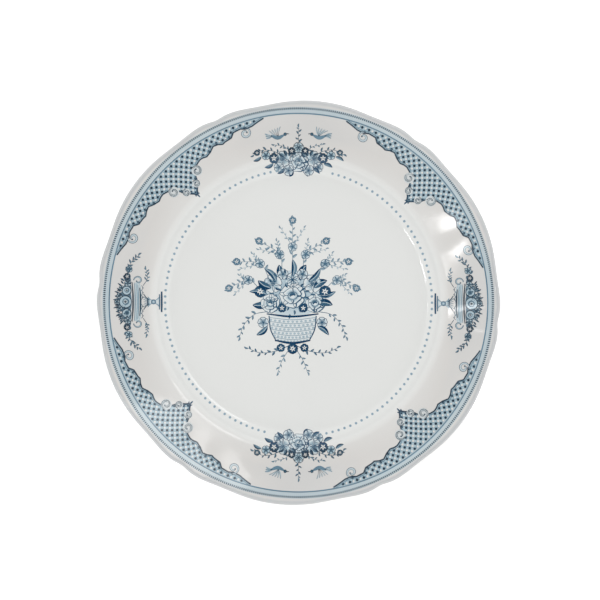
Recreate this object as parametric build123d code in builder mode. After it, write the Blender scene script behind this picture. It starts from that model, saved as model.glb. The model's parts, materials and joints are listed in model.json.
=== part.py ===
from build123d import *
import os
from math import cos, sin, tan, radians, sqrt, pi

os.makedirs("parts", exist_ok=True)

# ---------------------------------------------------------------------------
# China dinner plate, millimetres, +Z up.
# Origin: on the plate's axis, in the plane its foot ring stands on.
# ---------------------------------------------------------------------------

# driving dimensions
lip_radius = 135.0        # nominal radius of the lobed lip
floor_radius = 84.5       # flat well floor, up to where the cavetto starts
floor_top = 6.4           # glazed well floor above the table
floor_thickness = 3.6     # glazed floor, top to underside
cavetto_radius = 14.0     # concave sweep from the floor into the cavetto wall
cavetto_angle = 48.0      # steepest slope of the cavetto wall
shoulder_radius = 9.0     # convex sweep from the cavetto wall onto the rim
rim_angle = 14.0          # slope of the rim where it leaves the shoulder
rim_lift = 9.4            # rise of the rim from the shoulder to the lip
wall = 4.2                # glazed wall thickness of cavetto and inner rim
lip_thickness = 3.5       # glazed thickness of the rolled lip
join_radius = 104.0       # inside this the plate is round, outside it is lobed

foot_outer = 84.0         # foot ring, outer radius at the table
foot_inner = 77.6         # foot ring, inner radius at the table
foot_round = 0.8          # rounding on both edges of the foot ring
dry_band = 1.1            # glaze stops this far above the table

glaze = 0.30              # glaze coat thickness
film = 0.08               # raised thickness of the printed colour

# lobed edge: radial offset of the lip from lip_radius, at angles from a notch.
# Six 60 degree repeats, each mirror-symmetric: a notch, a narrow lobe, a
# shallow hollow, then half of a broad lobe.
lobes = 6
notch_angle = -5.6
edge_table = [
    (0.0, -0.46), (2.4, 0.26), (5.0, 0.62), (8.0, 0.27), (11.0, -0.26),
    (14.0, -0.40), (17.0, -0.10), (20.5, 0.46), (25.0, 0.96), (30.0, 1.15),
]


def edge_offsets():
    """(angle, offset) all round the plate, one closed turn."""
    half = edge_table
    repeat = half + [(60.0 - a, v) for a, v in reversed(half[1:-1])]
    return [
        (notch_angle + 60.0 * k + a, v) for k in range(lobes) for a, v in repeat
    ]


ring_knots = [a for a, v in edge_offsets()] + [notch_angle + 360.0]


def ring_points(rho, weight):
    """Points of one closed level curve of the lobed rim."""
    out = []
    for a, v in edge_offsets():
        r = rho + weight * v
        out.append((r * cos(radians(a)), r * sin(radians(a))))
    return out


def lobe_weight(rho):
    """How far the lobes of the edge reach in across the rim: 0 inside, 1 at the lip."""
    t = min(max((rho - join_radius) / (lip_radius - 3.0 - join_radius), 0.0), 1.0)
    return t * t * (3.0 - 2.0 * t)


# upper surface of the round part, as (radius, height) key points
a_c, a_r = radians(cavetto_angle), radians(rim_angle)
cav_c = (floor_radius, floor_top + cavetto_radius)
cav_end = (cav_c[0] + cavetto_radius * sin(a_c), cav_c[1] - cavetto_radius * cos(a_c))
straight = 1.4
sh_start = (cav_end[0] + straight * cos(a_c), cav_end[1] + straight * sin(a_c))
sh_c = (sh_start[0] + shoulder_radius * sin(a_c), sh_start[1] - shoulder_radius * cos(a_c))
sh_end = (sh_c[0] - shoulder_radius * sin(a_r), sh_c[1] + shoulder_radius * cos(a_r))
lip_top = sh_end[1] + rim_lift


def rim_top(rho):
    """Height of the upper rim surface: leaves the shoulder at rim_angle, curls up a little."""
    s = rho - sh_end[0]
    run = lip_radius - sh_end[0]
    bend = (rim_lift - run * tan(a_r)) / run**2
    return sh_end[1] + s * tan(a_r) + bend * s * s


def rim_under(rho):
    """Height of the rim's underside: the wall thins from the shoulder to the lip."""
    t = (rho - sh_end[0]) / (lip_radius - sh_end[0])
    return rim_top(rho) - (wall + (lip_thickness + 0.1 - wall) * t) / cos(radians(15.0))


def rim_sections(inset):
    """(nominal radius, height, lobe weight) of the level curves, over the top, round the lip and back."""
    lip_r = lip_thickness / 2.0 - inset
    nose = lip_radius - inset - lip_r
    lip_z = (rim_top(lip_radius - 2.0) + rim_under(lip_radius - 2.0)) / 2.0 + 0.25
    rows = []
    for rho in (join_radius - 4.0, join_radius, 109.0, 115.0, 121.0, 127.0, 131.2):
        rows.append((rho, rim_top(rho) - inset, lobe_weight(rho)))
    for deg in (78.0, 45.0, 0.0, -45.0, -78.0):
        rows.append(
            (nose + lip_r * cos(radians(deg)), lip_z + lip_r * sin(radians(deg)), 1.0)
        )
    for rho in (131.2, 127.0, 121.0, 115.0, 109.0, join_radius, join_radius - 4.0):
        rows.append((rho, rim_under(rho) + inset, lobe_weight(rho)))
    return rows


def lobed_rim(inset):
    """Closed solid of the lobed rim, hollow inside join_radius."""
    with BuildPart() as rim:
        for rho, z, weight in rim_sections(inset):
            with BuildSketch(Plane.XY.offset(z)):
                with BuildLine():
                    # every level curve shares one set of knots, the angles
                    add(
                        Edge.make_spline(
                            ring_points(rho, weight),
                            periodic=True,
                            parameters=ring_knots,
                        )
                    )
                make_face()
        loft()
        with BuildSketch(Plane.XY.offset(-5)):
            Circle(join_radius)
        extrude(amount=60, mode=Mode.SUBTRACT)
    return rim.part



def plate_solid(inset, foot_height):
    """The whole plate as one solid, its skin moved inward by inset.

    foot_height is where the foot ring's resting face lies above the table.
    """
    top, under = -inset, inset
    # underside of the cavetto: the same centres, a wall further out
    r_cav = cavetto_radius + wall
    r_sh = shoulder_radius - wall
    recess_z = floor_top - floor_thickness + under
    foot_a = foot_inner + inset
    foot_b = foot_outer - inset
    phi0 = radians(9.5)
    u0 = (cav_c[0] + r_cav * sin(phi0), cav_c[1] - r_cav * cos(phi0) + under)
    u1 = (cav_c[0] + r_cav * sin(a_c), cav_c[1] - r_cav * cos(a_c) + under)
    um = (
        cav_c[0] + r_cav * sin((a_c + phi0) / 2),
        cav_c[1] - r_cav * cos((a_c + phi0) / 2) + under,
    )
    a_u = radians(16.5)
    v0 = (sh_c[0] - r_sh * sin(a_c), sh_c[1] + r_sh * cos(a_c) + under)
    v1 = (sh_c[0] - r_sh * sin(a_u), sh_c[1] + r_sh * cos(a_u) + under)
    vm_a = (a_c + a_u) / 2
    vm = (sh_c[0] - r_sh * sin(vm_a), sh_c[1] + r_sh * cos(vm_a) + under)
    t_mid = (
        cav_c[0] + cavetto_radius * sin(a_c / 2),
        cav_c[1] - cavetto_radius * cos(a_c / 2) + top,
    )
    s_a = (a_c + a_r) / 2
    s_mid = (
        sh_c[0] - shoulder_radius * sin(s_a),
        sh_c[1] + shoulder_radius * cos(s_a) + top,
    )
    with BuildPart() as round_part:
        with BuildSketch(Plane.XZ):
            with BuildLine():
                Polyline(
                    (0, recess_z),
                    (0, floor_top + top),
                    (floor_radius, floor_top + top),
                )
                ThreePointArc(
                    (floor_radius, floor_top + top),
                    t_mid,
                    (cav_end[0], cav_end[1] + top),
                )
                Line((cav_end[0], cav_end[1] + top), (sh_start[0], sh_start[1] + top))
                ThreePointArc(
                    (sh_start[0], sh_start[1] + top),
                    s_mid,
                    (sh_end[0], sh_end[1] + top),
                )
                Polyline(
                    (sh_end[0], sh_end[1] + top),
                    (join_radius, rim_top(join_radius) + top),
                    (join_radius, rim_under(join_radius) + under),
                    v1,
                )
                ThreePointArc(v1, vm, v0)
                Line(v0, u1)
                ThreePointArc(u1, um, u0)
                Polyline(
                    u0,
                    (foot_b + 0.35, recess_z),
                    (foot_b, foot_height),
                    (foot_a, foot_height),
                    (foot_a - 0.9, recess_z),
                    (0, recess_z),
                )
            make_face()
        revolve(axis=Axis.Z)
        # soften both corners of the foot ring's resting face
        fillet(
            round_part.edges().filter_by(GeomType.CIRCLE).group_by(Axis.Z)[0],
            radius=foot_round,
        )
        # soften the inner corner where the foot ring meets the recessed base
        fillet(
            round_part.edges()
            .filter_by(GeomType.CIRCLE)
            .filter_by(lambda e: abs(e.radius - (foot_a - 0.9)) < 0.05),
            radius=1.2,
        )
        add(lobed_rim(inset))
    return round_part.part



# ---------------------------------------------------------------------------
# plate_body: the fired ceramic, one piece with its foot ring
# ---------------------------------------------------------------------------
with BuildPart() as plate_body:
    add(plate_solid(glaze, 0.0))
plate_body.part.label = "plate_body"
export_step(plate_body.part, "parts/plate_body.step")

# ---------------------------------------------------------------------------
# glaze_coat: the glassy skin over the body, wiped off the foot's resting band
# ---------------------------------------------------------------------------
outer = plate_solid(0.0, 0.0)
with BuildPart() as glaze_coat:
    add(outer)
    add(plate_body.part, mode=Mode.SUBTRACT)
    with Locations((0, 0, dry_band)):
        Cylinder(
            lip_radius + 10,
            20,
            align=(Align.CENTER, Align.CENTER, Align.MAX),
            mode=Mode.SUBTRACT,
        )
glaze_coat.part.label = "glaze_coat"
export_step(glaze_coat.part, "parts/glaze_coat.step")

# ---------------------------------------------------------------------------
# printed colour: thin raised films lying on the glaze
# ---------------------------------------------------------------------------
print_limit = 132.4  # prints stay inside this radius

# skin of the lobed rim: the rim lifted by one film thickness, less the rim itself
with BuildPart() as rim_base:
    add(lobed_rim(0.0))
    Cylinder(print_limit, 80, mode=Mode.INTERSECT)
with BuildPart() as rim_skin:
    add(rim_base.part.moved(Location((0, 0, film))))
    add(rim_base.part, mode=Mode.SUBTRACT)


def mid_arc(centre, radius, angle, side, lift):
    """Point on a profile arc: side +1 for the cavetto (below its centre), -1 for the shoulder."""
    return (
        centre[0] + side * radius * sin(angle),
        centre[1] - side * radius * cos(angle) + lift,
    )


# skin of the round part: well edge, cavetto and shoulder
skin_in = 60.0
with BuildPart() as round_skin:
    with BuildSketch(Plane.XZ):
        with BuildLine():
            for lift in (0.0, film):
                Line((skin_in, floor_top + lift), (floor_radius, floor_top + lift))
                ThreePointArc(
                    (floor_radius, floor_top + lift),
                    mid_arc(cav_c, cavetto_radius, a_c / 2, 1, lift),
                    (cav_end[0], cav_end[1] + lift),
                )
                Line((cav_end[0], cav_end[1] + lift), (sh_start[0], sh_start[1] + lift))
                ThreePointArc(
                    (sh_start[0], sh_start[1] + lift),
                    mid_arc(sh_c, shoulder_radius, (a_c + a_r) / 2, -1, lift),
                    (sh_end[0], sh_end[1] + lift),
                )
                Line(
                    (sh_end[0], sh_end[1] + lift),
                    (join_radius, rim_top(join_radius) + lift),
                )
            for r, z in ((skin_in, floor_top), (join_radius, rim_top(join_radius))):
                Line((r, z), (r, z + film))
        make_face()
    revolve(axis=Axis.Z)


def polar(r, deg):
    return (r * cos(radians(deg)), r * sin(radians(deg)))


def printed(outline):
    """Film of the given plan outline, lying on the glaze of cavetto and rim."""
    patches = []
    for skin in (rim_skin.part, round_skin.part):
        with BuildPart() as patch:
            add(skin)
            add(outline, mode=Mode.INTERSECT)
        if patch.part is not None and patch.part.volume > 1e-6:
            patches.append(patch.part)
    with BuildPart() as piece:
        for item in patches:
            add(item)
    return piece.part


# ring prints on the rim are laid as six strips end to end
strip_count, strip_gap = 6, 0.15


def ring_strips(outer, inner, start):
    """Films of a ring between two radii, cut into strips with hairline gaps."""
    half_turn = 180.0 / strip_count
    gap_turn = 0.5 * strip_gap / inner * 180.0 / pi
    strips = []
    for k in range(strip_count):
        middle = start + 2 * half_turn * k
        lo, hi = middle - half_turn + gap_turn, middle + half_turn - gap_turn
        with BuildPart() as strip:
            with BuildSketch(Plane.XY):
                with BuildLine():
                    ThreePointArc(polar(outer, lo), polar(outer, middle), polar(outer, hi))
                    Line(polar(outer, hi), polar(inner, hi))
                    ThreePointArc(polar(inner, hi), polar(inner, middle), polar(inner, lo))
                    Line(polar(inner, lo), polar(outer, lo))
                make_face()
            extrude(amount=60)
            add(rim_skin.part, mode=Mode.INTERSECT)
        strips.append(strip.part)
    return strips


# bead row with its edge line, close inside the lip
bead_row_outer, bead_row_inner = 131.7, 130.3
bead_strips = ring_strips(bead_row_outer, bead_row_inner, 15.0)
with BuildPart() as rim_bead_print:
    for strip in bead_strips:
        add(strip)
rim_bead_print.part.label = "rim_bead_print"
export_step(rim_bead_print.part, "parts/rim_bead_print.step")

# plain ring line that closes the lattice border
line_outer, line_inner = 127.9, 126.9
line_strips = ring_strips(line_outer, line_inner, 15.0)
with BuildPart() as rim_line_print:
    for strip in line_strips:
        add(strip)
rim_line_print.part.label = "rim_line_print"
export_step(rim_line_print.part, "parts/rim_line_print.step")

# four lattice cartouches: plan outline of half a cartouche, (radius, angle off its middle)
lattice_half = [
    (126.7, 33.0), (123.2, 31.0), (122.6, 27.5), (118.4, 25.2), (117.2, 22.6),
    (119.4, 19.8), (119.6, 17.5), (116.8, 14.6), (116.0, 11.6), (117.0, 8.4),
    (114.4, 6.4), (110.4, 4.6), (106.2, 3.2), (101.6, 1.9), (98.2, 0.0),
]
lattice_nodes = {
    "lattice_print_ne": 43.0,
    "lattice_print_nw": 133.0,
    "lattice_print_sw": 223.0,
    "lattice_print_se": 313.0,
}
lattice_parts = {}
for name, middle in lattice_nodes.items():
    with BuildPart() as prism:
        with BuildSketch(Plane.XY):
            with BuildLine():
                ThreePointArc(
                    polar(126.7, middle - 33.0),
                    polar(126.7, middle),
                    polar(126.7, middle + 33.0),
                )
                Polyline(
                    *[polar(r, middle + a) for r, a in lattice_half],
                    *[polar(r, middle - a) for r, a in reversed(lattice_half[:-1])],
                )
            make_face()
        extrude(amount=60)
    film_part = printed(prism.part)
    film_part.label = name
    export_step(film_part, f"parts/{name}.step")
    lattice_parts[name] = film_part

# bird and nest sprays across the rim, top one given, bottom one half a turn round
bird_outline = [
    (-31.0, 107.5), (-25.5, 113.2), (-18.0, 117.0), (-8.0, 123.6), (1.5, 117.0),
    (12.0, 121.0), (20.0, 119.5), (27.0, 113.5), (34.0, 106.5), (39.5, 100.5),
    (31.0, 94.0), (14.0, 88.0), (4.0, 84.9), (-10.0, 90.0), (-18.5, 98.5),
    (-28.5, 102.0),
]
# flower urn sprays across the rim, left one given, right one half a turn round
urn_outline = [
    (-124.8, 2.0), (-119.0, 12.0), (-116.5, 25.0), (-113.0, 32.2), (-108.5, 26.0),
    (-109.0, 14.0), (-100.0, 9.0), (-93.0, 5.0), (-92.4, -3.0), (-99.0, -9.0),
    (-105.0, -15.0), (-104.0, -28.0), (-107.0, -32.0), (-111.5, -26.0),
    (-117.5, -19.0), (-121.0, -8.0),
]
sprays = [
    ("bird_spray_print_top", bird_outline, 0.0),
    ("bird_spray_print_bottom", bird_outline, 180.0),
    ("urn_spray_print_left", urn_outline, 0.0),
    ("urn_spray_print_right", urn_outline, 180.0),
]
spray_parts = {}
for name, outline, turn in sprays:
    with BuildPart() as prism:
        with BuildSketch(Plane.XY.rotated((0, 0, turn))):
            with BuildLine():
                Spline(*outline, periodic=True)
            make_face()
        extrude(amount=60)
    film_part = printed(prism.part)
    film_part.label = name
    export_step(film_part, f"parts/{name}.step")
    spray_parts[name] = film_part

# ring of printed dots in the foot of the cavetto; the sprays hide some of them
dot_ring_radius, dot_radius, dot_count = 90.6, 0.72, 134
hidden = ((76.5, 98.5), (256.5, 278.5))
with BuildPart() as one_dot:
    add(round_skin.part)
    with BuildSketch(Plane.XY):
        with Locations((dot_ring_radius, 0)):
            Circle(dot_radius)
    extrude(amount=60, mode=Mode.INTERSECT)
dots = []
for k in range(dot_count):
    angle = 360.0 * k / dot_count
    if not any(lo <= angle <= hi for lo, hi in hidden):
        dots.append(one_dot.part.solid().rotate(Axis.Z, angle))
well_bead_print = Compound(children=dots)
well_bead_print.label = "well_bead_print"
export_step(well_bead_print, "parts/well_bead_print.step")

# flower basket bouquet on the flat well floor
bouquet_outline = [
    (-60.5, 0.5), (-56.0, 8.0), (-42.0, 8.5), (-32.0, 17.0), (-22.0, 28.0),
    (-16.0, 38.0), (-11.5, 54.0), (-6.0, 62.0), (-1.5, 55.0), (-1.0, 40.0),
    (6.0, 28.0), (18.0, 26.0), (28.0, 27.0), (38.0, 24.0), (45.0, 14.0),
    (52.5, 2.0), (48.0, -10.0), (53.0, -22.0), (49.0, -36.0), (36.0, -40.0),
    (30.0, -58.0), (16.0, -62.5), (5.0, -50.0), (-8.0, -40.0), (-17.0, -46.0),
    (-22.0, -35.0), (-32.0, -31.0), (-38.5, -20.0), (-40.0, -8.0), (-54.0, -6.5),
]
with BuildPart() as bouquet_print:
    with BuildSketch(Plane.XY.offset(floor_top)):
        with BuildLine():
            Spline(*bouquet_outline, periodic=True)
        make_face()
    extrude(amount=film)
bouquet_print.part.label = "bouquet_print"
export_step(bouquet_print.part, "parts/bouquet_print.step")
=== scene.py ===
import bpy
import math
import numpy as np
from math import cos, sin, tan, radians, pi, sqrt
from mathutils import Matrix, Vector
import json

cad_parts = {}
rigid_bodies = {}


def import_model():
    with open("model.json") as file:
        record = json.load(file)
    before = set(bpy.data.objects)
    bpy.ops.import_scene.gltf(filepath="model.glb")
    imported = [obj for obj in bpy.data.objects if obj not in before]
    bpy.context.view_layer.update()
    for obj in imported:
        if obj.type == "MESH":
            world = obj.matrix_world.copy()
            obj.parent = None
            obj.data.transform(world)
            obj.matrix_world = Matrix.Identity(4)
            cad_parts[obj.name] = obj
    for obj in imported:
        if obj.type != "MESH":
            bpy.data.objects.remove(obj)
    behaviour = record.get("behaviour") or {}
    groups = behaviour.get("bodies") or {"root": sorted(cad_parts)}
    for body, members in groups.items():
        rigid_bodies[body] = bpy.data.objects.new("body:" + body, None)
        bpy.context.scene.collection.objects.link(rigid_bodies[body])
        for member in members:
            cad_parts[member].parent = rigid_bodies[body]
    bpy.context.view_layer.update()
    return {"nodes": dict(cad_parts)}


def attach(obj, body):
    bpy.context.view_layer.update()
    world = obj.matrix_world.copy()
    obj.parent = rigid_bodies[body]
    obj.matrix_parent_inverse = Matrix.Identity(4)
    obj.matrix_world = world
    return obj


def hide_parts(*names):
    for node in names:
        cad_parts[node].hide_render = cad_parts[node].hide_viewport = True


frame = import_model()

MM = 0.001

# ---------------------------------------------------------------------------
# the plate's own surface, the same driving dimensions as the CAD (mm)
# ---------------------------------------------------------------------------
LIP_R, FLOOR_R, FLOOR_Z, FLOOR_T = 135.0, 84.5, 6.4, 3.6
CAV_R, CAV_A, SH_R, RIM_A, RIM_LIFT = 14.0, radians(48.0), 9.0, radians(14.0), 9.4
WALL, LIP_T, JOIN_R = 4.2, 3.5, 104.0
FOOT_OUT, FOOT_IN, DRY = 84.0, 77.6, 1.1
GLAZE = 0.30
EDGE = [(0.0, -0.46), (2.4, 0.26), (5.0, 0.62), (8.0, 0.27), (11.0, -0.26),
        (14.0, -0.40), (17.0, -0.10), (20.5, 0.46), (25.0, 0.96), (30.0, 1.15)]
NOTCH = -5.6


def periodic_spline(knots, values, period):
    """Second derivatives of the periodic cubic through the knots."""
    n = len(knots)
    k = np.asarray(knots, float)
    v = np.asarray(values, float)
    h = np.append(np.diff(k), k[0] + period - k[-1])
    a = np.zeros((n, n))
    b = np.zeros(n)
    for i in range(n):
        p, q = (i - 1) % n, (i + 1) % n
        a[i, p] += h[p]
        a[i, i] += 2 * (h[p] + h[i])
        a[i, q] += h[i]
        b[i] = 6 * ((v[q] - v[i]) / h[i] - (v[i] - v[p]) / h[p])
    return k, v, h, np.linalg.solve(a, b)


_half = EDGE + [(60.0 - a, v) for a, v in reversed(EDGE[1:-1])]
_sp = periodic_spline([60.0 * j + a for j in range(6) for a, v in _half],
                      [v for j in range(6) for a, v in _half], 360.0)


def edge_offset(theta):
    """Radial offset of the lobed lip at angle theta (radians)."""
    k, v, h, m = _sp
    t = np.mod(np.degrees(np.asarray(theta, float)) - NOTCH, 360.0)
    i = np.clip(np.searchsorted(k, t, side="right") - 1, 0, len(k) - 1)
    j = (i + 1) % len(k)
    d = t - k[i]
    e = h[i] - d
    return ((m[i] * e**3 + m[j] * d**3) / (6 * h[i])
            + (v[i] / h[i] - m[i] * h[i] / 6) * e + (v[j] / h[i] - m[j] * h[i] / 6) * d)


def lobe_weight(rho):
    t = np.clip((np.asarray(rho, float) - JOIN_R) / (LIP_R - 3.0 - JOIN_R), 0.0, 1.0)
    return t * t * (3.0 - 2.0 * t)


CAV_C = (FLOOR_R, FLOOR_Z + CAV_R)
CAV_E = (CAV_C[0] + CAV_R * sin(CAV_A), CAV_C[1] - CAV_R * cos(CAV_A))
SH_S = (CAV_E[0] + 1.4 * cos(CAV_A), CAV_E[1] + 1.4 * sin(CAV_A))
SH_C = (SH_S[0] + SH_R * sin(CAV_A), SH_S[1] - SH_R * cos(CAV_A))
SH_E = (SH_C[0] - SH_R * sin(RIM_A), SH_C[1] + SH_R * cos(RIM_A))
BEND = (RIM_LIFT - (LIP_R - SH_E[0]) * tan(RIM_A)) / (LIP_R - SH_E[0]) ** 2


def rim_top(rho):
    s = np.asarray(rho, float) - SH_E[0]
    return SH_E[1] + s * tan(RIM_A) + BEND * s * s


def rim_under(rho):
    t = (np.asarray(rho, float) - SH_E[0]) / (LIP_R - SH_E[0])
    return rim_top(rho) - (WALL + (LIP_T + 0.1 - WALL) * t) / cos(radians(15.0))


def round_top(r):
    r = np.asarray(r, float)
    z = np.full(r.shape, FLOOR_Z)
    m = (r > FLOOR_R) & (r <= CAV_E[0])
    z = np.where(m, CAV_C[1] - np.sqrt(np.maximum(CAV_R**2 - (r - CAV_C[0]) ** 2, 0)), z)
    m = (r > CAV_E[0]) & (r <= SH_S[0])
    z = np.where(m, CAV_E[1] + (r - CAV_E[0]) * tan(CAV_A), z)
    m = (r > SH_S[0]) & (r <= SH_E[0])
    z = np.where(m, SH_C[1] + np.sqrt(np.maximum(SH_R**2 - (r - SH_C[0]) ** 2, 0)), z)
    return np.where(r > SH_E[0], rim_top(r), z)


# slow waves that firing leaves in the glaze, a few hundredths of a millimetre
_w = np.random.RandomState(5)
WAVES = [(_w.randint(5, 27), _w.uniform(0, 2 * pi), _w.uniform(0.010, 0.026),
          _w.uniform(0.06, 0.20), _w.uniform(0, 2 * pi)) for _ in range(9)]


def waves(r, th):
    out = np.zeros(np.broadcast(r, th).shape)
    for k, ph, a, q, p2 in WAVES:
        out = out + a * np.cos(k * th + ph) * np.cos(q * r + p2)
    fade = np.clip((r - 111.0) / 14.0, 0.0, 1.0) * np.clip((134.0 - r) / 6.0, 0.0, 1.0)
    return out * fade


def top_z(x, y):
    """Height of the glaze's upper surface (mm) over the plan point x, y (mm)."""
    x = np.asarray(x, float)
    y = np.asarray(y, float)
    r = np.hypot(x, y)
    th = np.arctan2(y, x)
    f = edge_offset(th)
    rho = r.copy()
    for _ in range(6):
        rho = r - lobe_weight(rho) * f
    return round_top(np.where(r > JOIN_R, rho, r)) + waves(r, th)


# painted shade on the glaze white: greyness by radius, none in the well, some on the sloping rim, most on the rolled
# lip
PAINTED_SHADE_R = [0.0, 96.5, 101.5, 106.0, 113.0, 131.6, 132.4, 134.2, 135.1]
PAINTED_SHADE_K = [0.0, 0.0, 0.36, 0.44, 0.52, 0.50, 0.74, 0.78, 0.98]


def rim_painted_shade(rho, th):
    """Painted shade: the white made greyer, none in the well, slight on the rim, most on the lip."""
    k = np.interp(rho, PAINTED_SHADE_R, PAINTED_SHADE_K)
    # painted shade as well: the rim made a little lighter or darker by turns, four times round the plate
    k2 = 0.07 * np.cos(4 * (th - radians(43.0))) * np.clip((rho - 98.0) / 6.0, 0, 1) * (rho < 131.8)
    return np.clip(k - k2, 0.0, 1.0)


def top_normal(x, y, e=0.02):
    x = np.asarray(x, float)
    y = np.asarray(y, float)
    dx = (top_z(x + e, y) - top_z(x - e, y)) / (2 * e)
    dy = (top_z(x, y + e) - top_z(x, y - e)) / (2 * e)
    n = np.stack([-dx, -dy, np.ones_like(dx)], -1)
    return n / np.linalg.norm(n, axis=-1, keepdims=True)


# ---------------------------------------------------------------------------
# materials
# ---------------------------------------------------------------------------
def new_mat(name):
    m = bpy.data.materials.new(name)
    m.use_nodes = True
    nt = m.node_tree
    nt.nodes.clear()
    out = nt.nodes.new("ShaderNodeOutputMaterial")
    bsdf = nt.nodes.new("ShaderNodeBsdfPrincipled")
    nt.links.new(bsdf.outputs[0], out.inputs[0])
    return m, nt, bsdf


def srgb(r, g, b):
    def c(u):
        u /= 255.0
        return u / 12.92 if u <= 0.04045 else ((u + 0.055) / 1.055) ** 2.4
    return (c(r), c(g), c(b), 1.0)


def noise(nt, coord, scale, detail=2.0, rough=0.5):
    n = nt.nodes.new("ShaderNodeTexNoise")
    n.inputs["Scale"].default_value = scale
    n.inputs["Detail"].default_value = detail
    n.inputs["Roughness"].default_value = rough
    nt.links.new(coord, n.inputs["Vector"])
    return n.outputs["Fac"]


def math_node(nt, op, a, b=None, clamp=False):
    n = nt.nodes.new("ShaderNodeMath")
    n.operation = op
    n.use_clamp = clamp
    for i, v in enumerate((a, b)):
        if v is None:
            continue
        if isinstance(v, (int, float)):
            n.inputs[i].default_value = v
        else:
            nt.links.new(v, n.inputs[i])
    return n.outputs[0]


# the glaze white of the well, then greyer whites that paint shade onto the rim and lip
GLAZE_WHITE_AND_PAINTED_SHADE = [(0.0, (221, 222, 220)), (0.5, (204, 202, 199)), (0.75, (189, 191, 192)), (1.0, (176, 178, 179))]
INK_WELL = [(0.0, (255, 255, 255)), (0.12, (231, 243, 250)), (0.25, (194, 214, 227)), (0.5, (133, 163, 183)),
            (0.75, (66, 108, 137)), (1.0, (4, 60, 98))]
INK_RIM = [(0.0, (255, 255, 255)), (0.12, (219, 241, 253)), (0.25, (185, 217, 234)), (0.5, (126, 165, 189)),
           (0.75, (58, 99, 124)), (1.0, (4, 42, 66))]


def glaze_finish(nt, bsdf):
    """What every glazed surface shares: gloss, and the faint ripple of the melted coat."""
    tc = nt.nodes.new("ShaderNodeTexCoord").outputs["Object"]
    bsdf.inputs["IOR"].default_value = 1.5
    bsdf.inputs["Specular IOR Level"].default_value = 0.5
    big = noise(nt, tc, 9.0, 2.0)
    r = nt.nodes.new("ShaderNodeMapRange")
    r.inputs["To Min"].default_value = 0.045
    r.inputs["To Max"].default_value = 0.075
    nt.links.new(big, r.inputs["Value"])
    nt.links.new(r.outputs[0], bsdf.inputs["Roughness"])
    ripple = noise(nt, tc, 95.0, 1.5)
    fine = noise(nt, tc, 420.0, 2.0)
    h = math_node(nt, "ADD", math_node(nt, "MULTIPLY", ripple, 1.0), math_node(nt, "MULTIPLY", fine, 0.12))
    bump = nt.nodes.new("ShaderNodeBump")
    bump.inputs["Strength"].default_value = 0.35
    bump.inputs["Distance"].default_value = 0.00002
    nt.links.new(h, bump.inputs["Height"])
    nt.links.new(bump.outputs[0], bsdf.inputs["Normal"])
    return tc


def glaze_colour(nt, tc):
    """White of the body seen through the glaze, made greyer and warmer on the rim and lip by painted shade."""
    # per-corner greyness: painted shade of the rim and lip, a flat grey on the underside
    att = nt.nodes.new("ShaderNodeAttribute")
    att.attribute_name = "tint_and_painted_shade"
    soft = math_node(nt, "MULTIPLY", math_node(nt, "SUBTRACT", noise(nt, tc, 14.0, 3.0), 0.5), 0.16)
    fac = math_node(nt, "ADD", att.outputs["Fac"], soft, clamp=True)
    ramp = nt.nodes.new("ShaderNodeValToRGB")
    cr = ramp.color_ramp
    cr.elements[0].position = 0.0
    cr.elements[0].color = srgb(*GLAZE_WHITE_AND_PAINTED_SHADE[0][1])
    cr.elements[1].position = 1.0
    cr.elements[1].color = srgb(*GLAZE_WHITE_AND_PAINTED_SHADE[-1][1])
    for pos, rgb in GLAZE_WHITE_AND_PAINTED_SHADE[1:-1]:
        e = cr.elements.new(pos)
        e.color = srgb(*rgb)
    nt.links.new(fac, ramp.inputs["Fac"])
    return ramp.outputs["Color"], att.outputs["Fac"]


def make_glaze_material():
    m, nt, bsdf = new_mat("glaze_white")
    tc = glaze_finish(nt, bsdf)
    nt.links.new(glaze_colour(nt, tc)[0], bsdf.inputs["Base Color"])
    return m


def make_ink_material():
    m, nt, bsdf = new_mat("blue_transfer_print")
    tc = glaze_finish(nt, bsdf)
    att = nt.nodes.new("ShaderNodeAttribute")
    att.attribute_name = "ink"
    # the engraved colour is never quite even: fine grain, and slow change over the plate
    grain = math_node(nt, "MULTIPLY", math_node(nt, "SUBTRACT", noise(nt, tc, 1500.0, 2.0), 0.5), 0.30)
    patch = math_node(nt, "MULTIPLY", math_node(nt, "SUBTRACT", noise(nt, tc, 60.0, 2.0), 0.5), 0.35)
    k = math_node(nt, "ADD", math_node(nt, "ADD", grain, patch), 1.0)
    d = math_node(nt, "MULTIPLY", att.outputs["Fac"], k, clamp=True)
    white, tint_and_painted_shade = glaze_colour(nt, tc)
    ramps = []
    for stops in (INK_WELL, INK_RIM):
        ramp = nt.nodes.new("ShaderNodeValToRGB")
        cr = ramp.color_ramp
        cr.elements[0].position = 0.0
        cr.elements[0].color = srgb(*stops[0][1])
        cr.elements[1].position = 1.0
        cr.elements[1].color = srgb(*stops[-1][1])
        for pos, rgb in stops[1:-1]:
            e = cr.elements.new(pos)
            e.color = srgb(*rgb)
        nt.links.new(d, ramp.inputs["Fac"])
        ramps.append(ramp.outputs["Color"])
    # rim ink wherever the rim's painted shade begins; the print is then multiplied by the glaze white, painted shade
    # included
    both = nt.nodes.new("ShaderNodeMix")
    both.data_type = "RGBA"
    nt.links.new(math_node(nt, "MULTIPLY", tint_and_painted_shade, 2.2, clamp=True), both.inputs["Factor"])
    nt.links.new(ramps[0], both.inputs["A"])
    nt.links.new(ramps[1], both.inputs["B"])
    mix = nt.nodes.new("ShaderNodeMix")
    mix.data_type = "RGBA"
    mix.blend_type = "MULTIPLY"
    mix.inputs["Factor"].default_value = 1.0
    nt.links.new(white, mix.inputs["A"])
    nt.links.new(both.outputs["Result"], mix.inputs["B"])
    nt.links.new(mix.outputs["Result"], bsdf.inputs["Base Color"])
    return m


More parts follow.
